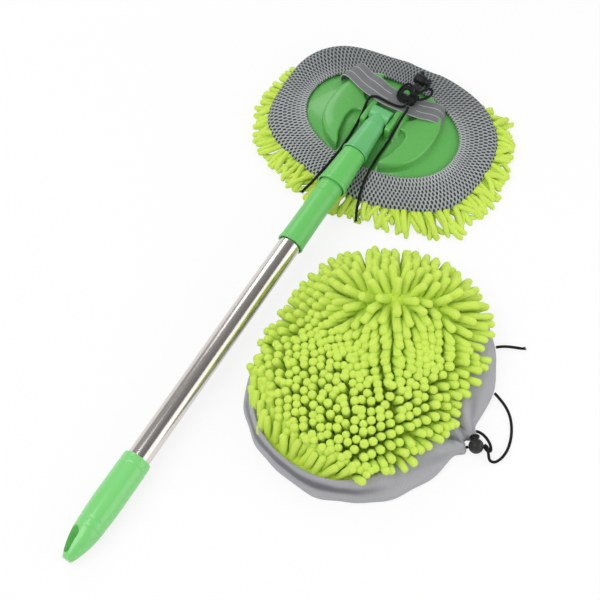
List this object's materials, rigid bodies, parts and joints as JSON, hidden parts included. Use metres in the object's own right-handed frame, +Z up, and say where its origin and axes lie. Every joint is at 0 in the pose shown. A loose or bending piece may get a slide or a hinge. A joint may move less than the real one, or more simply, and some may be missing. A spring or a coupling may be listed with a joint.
{
  "type": "car wash brush",
  "caption": "Long-handled car wash brush: telescopic pole hinged to an oval head in a chenille noodle cover with a hand strap, and a spare noodle cover lying beside it.",
  "frame": {"origin": "centre of the footprint on the floor of everything except the free drawcords and what is on them", "axes": "+Z up from the floor, +Y from the grip towards the head along the lying pole, +X across the head towards the spare cover"},
  "size_m": [0.4642, 0.72, 0.0828],
  "materials": {
    "plate_green": "gloss moulded",
    "sleeve_green": "satin moulded",
    "grip_green": "satin moulded",
    "steel_tube": "polished tube",
    "small_steel": "plain",
    "lime_chenille": "chenille noodles",
    "mesh_fabric": "padded open mesh",
    "knit_fabric": "stretch knit",
    "strap_elastic": "woven elastic",
    "black_cord": "braided cord",
    "black_plastic": "moulded",
    "white_nylon": "moulded"
  },
  "bodies": {
    "head": {"base_plate": "plate_green", "pivot_pin": "small_steel", "hand_strap": "strap_elastic", "strap_screw_left": "small_steel", "strap_screw_right": "small_steel", "cover_mesh_border": "mesh_fabric", "cover_chenille": "lime_chenille", "hem_drawcord": "black_cord", "drawcord_bow": "black_cord", "drawcord_lead": "black_cord", "drawcord_exit": "black_cord", "drawcord_tail_left": "black_cord", "drawcord_tail_right": "black_cord", "tail_tuft_left": "black_cord", "tail_tuft_right": "black_cord", "cord_lock_barrel": "black_plastic", "cord_lock_spring": "small_steel"},
    "head_lock_button": {"cord_lock_button": "black_plastic"},
    "neck": {"pivot_neck": "plate_green", "pole_adapter": "sleeve_green", "inner_tube": "steel_tube", "expander_stud": "black_plastic"},
    "twist_lock": {"expander_ring": "white_nylon"},
    "pole": {"outer_tube": "steel_tube", "lock_sleeve": "sleeve_green", "hand_grip": "grip_green"},
    "spare": {"spare_chenille": "lime_chenille", "spare_skirt": "knit_fabric", "spare_lock_ball": "black_plastic", "spare_lock_spring": "small_steel", "spare_cord_exit": "black_cord", "spare_cord_loop": "black_cord", "spare_cord_arc": "black_cord", "spare_cord_tail": "black_cord", "spare_tail_tuft": "black_cord"},
    "spare_button": {"spare_lock_button": "black_plastic"}
  },
  "joints": [
    {"name": "neck_tilt", "type": "hinge", "parent": "head", "child": "neck", "pos_m": [-0.05988, 0.25038, 0.0465], "axis": [-1, 0, 0], "range_deg": [0, 60]},
    {"name": "lock_twist", "type": "hinge", "parent": "neck", "child": "twist_lock", "pos_m": [-0.05988, -0.19893, 0.02164], "axis": [0, -0.9985, -0.0552], "range_deg": [0, 90]},
    {"name": "pole_extend", "type": "slide", "parent": "twist_lock", "child": "pole", "axis": [0, -0.9985, -0.0552], "range_m": [0, 0.3]},
    {"name": "lock_button_press", "type": "slide", "parent": "head", "child": "head_lock_button", "axis": [-1, 0, 0], "range_m": [0, 0.0028], "stiffness_N_per_m": 300, "deforming": ["cord_lock_spring"]},
    {"name": "spare_lift", "type": "slide", "parent": "head", "child": "spare", "axis": [0, 0, 1], "range_m": [0, 0.12]},
    {"name": "spare_button_press", "type": "slide", "parent": "spare", "child": "spare_button", "axis": [0.6018, -0.7986, 0], "range_m": [0, 0.0028], "stiffness_N_per_m": 300, "deforming": ["spare_lock_spring"]}
  ]
}
